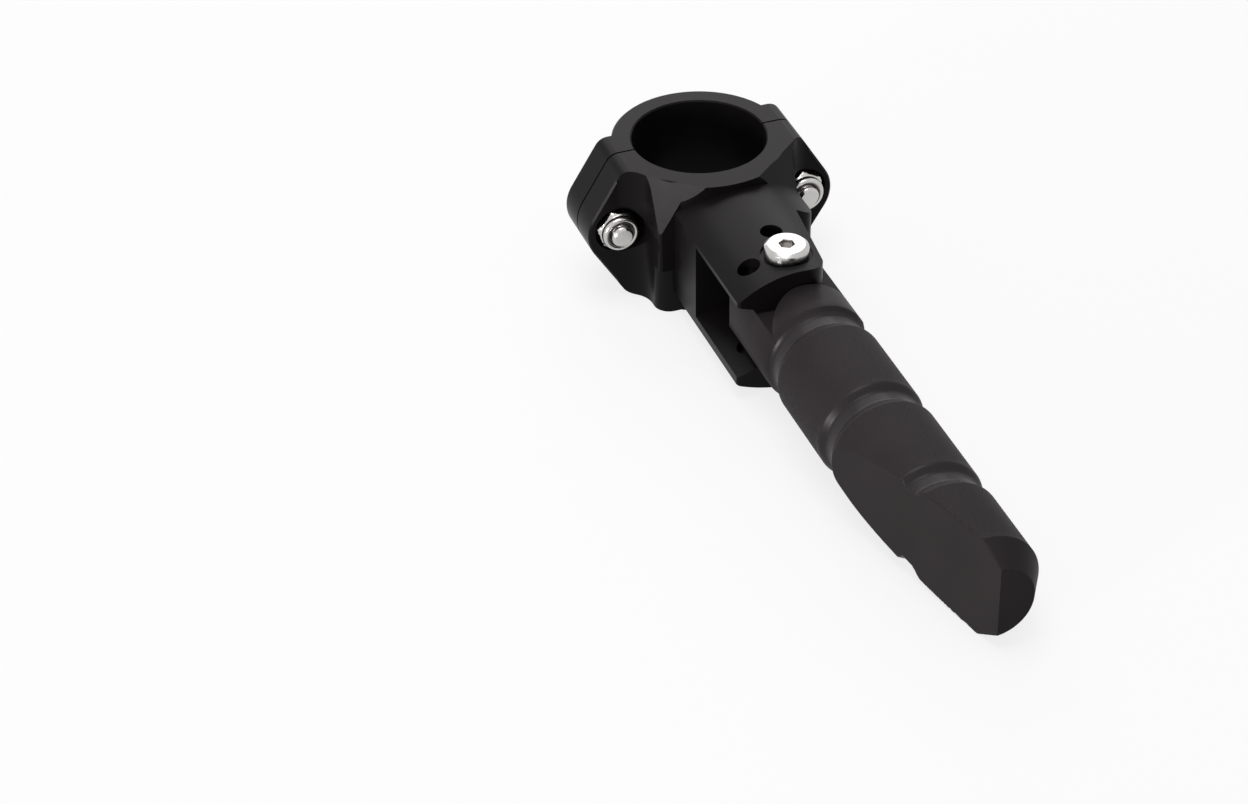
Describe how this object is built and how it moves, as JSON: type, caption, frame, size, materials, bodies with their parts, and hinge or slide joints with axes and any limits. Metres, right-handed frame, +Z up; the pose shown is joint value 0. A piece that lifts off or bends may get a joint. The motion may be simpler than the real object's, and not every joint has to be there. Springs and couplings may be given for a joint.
{
  "type": "folding foot peg",
  "caption": "Folding bike foot peg: two-half bolted tube clamp, forked bracket and knurled, grooved peg with a cut-off tip that swings on a pivot screw and clicks into a ball detent",
  "frame": {"origin": "middle of the clamp's bore, level with the line of the peg", "axes": "+Z along the clamped tube, +X towards the tip of the peg, +Y the way the peg folds; the part lies as in the picture, with Z up"},
  "size_m": [0.2191, 0.0734, 0.0417],
  "materials": {
    "clamp": "satin black anodised",
    "peg": "matt black anodised, finely knurled",
    "hardware": "bright zinc-plated steel",
    "nut_insert": "nylon locking ring"
  },
  "bodies": {
    "bracket": {"clamp_bracket": "clamp", "clamp_cap": "clamp", "clamp_bolt_left": "hardware", "clamp_bolt_right": "hardware", "lock_nut_left": "hardware", "lock_nut_right": "hardware", "nut_insert_left": "nut_insert", "nut_insert_right": "nut_insert", "pivot_screw": "hardware"},
    "peg": {"foot_peg": "peg", "detent_spring": "hardware"},
    "ball_upper": {"detent_ball_upper": "hardware"},
    "ball_lower": {"detent_ball_lower": "hardware"}
  },
  "joints": [
    {"name": "peg_fold", "type": "hinge", "parent": "bracket", "child": "peg", "pos_m": [0.0602, 0.0018, 0], "axis": [0, 0, 1], "range_deg": [0, 90]},
    {"name": "ball_upper_slide", "type": "slide", "parent": "peg", "child": "ball_upper", "axis": [0, 0, 1], "range_m": [0, 0.0016], "stiffness_N_per_m": 600, "springref_m": 0.0016, "deforming": ["detent_spring"]},
    {"name": "ball_lower_slide", "type": "slide", "parent": "peg", "child": "ball_lower", "axis": [0, 0, -1], "range_m": [0, 0.0016], "stiffness_N_per_m": 600, "springref_m": 0.0016}
  ]
}
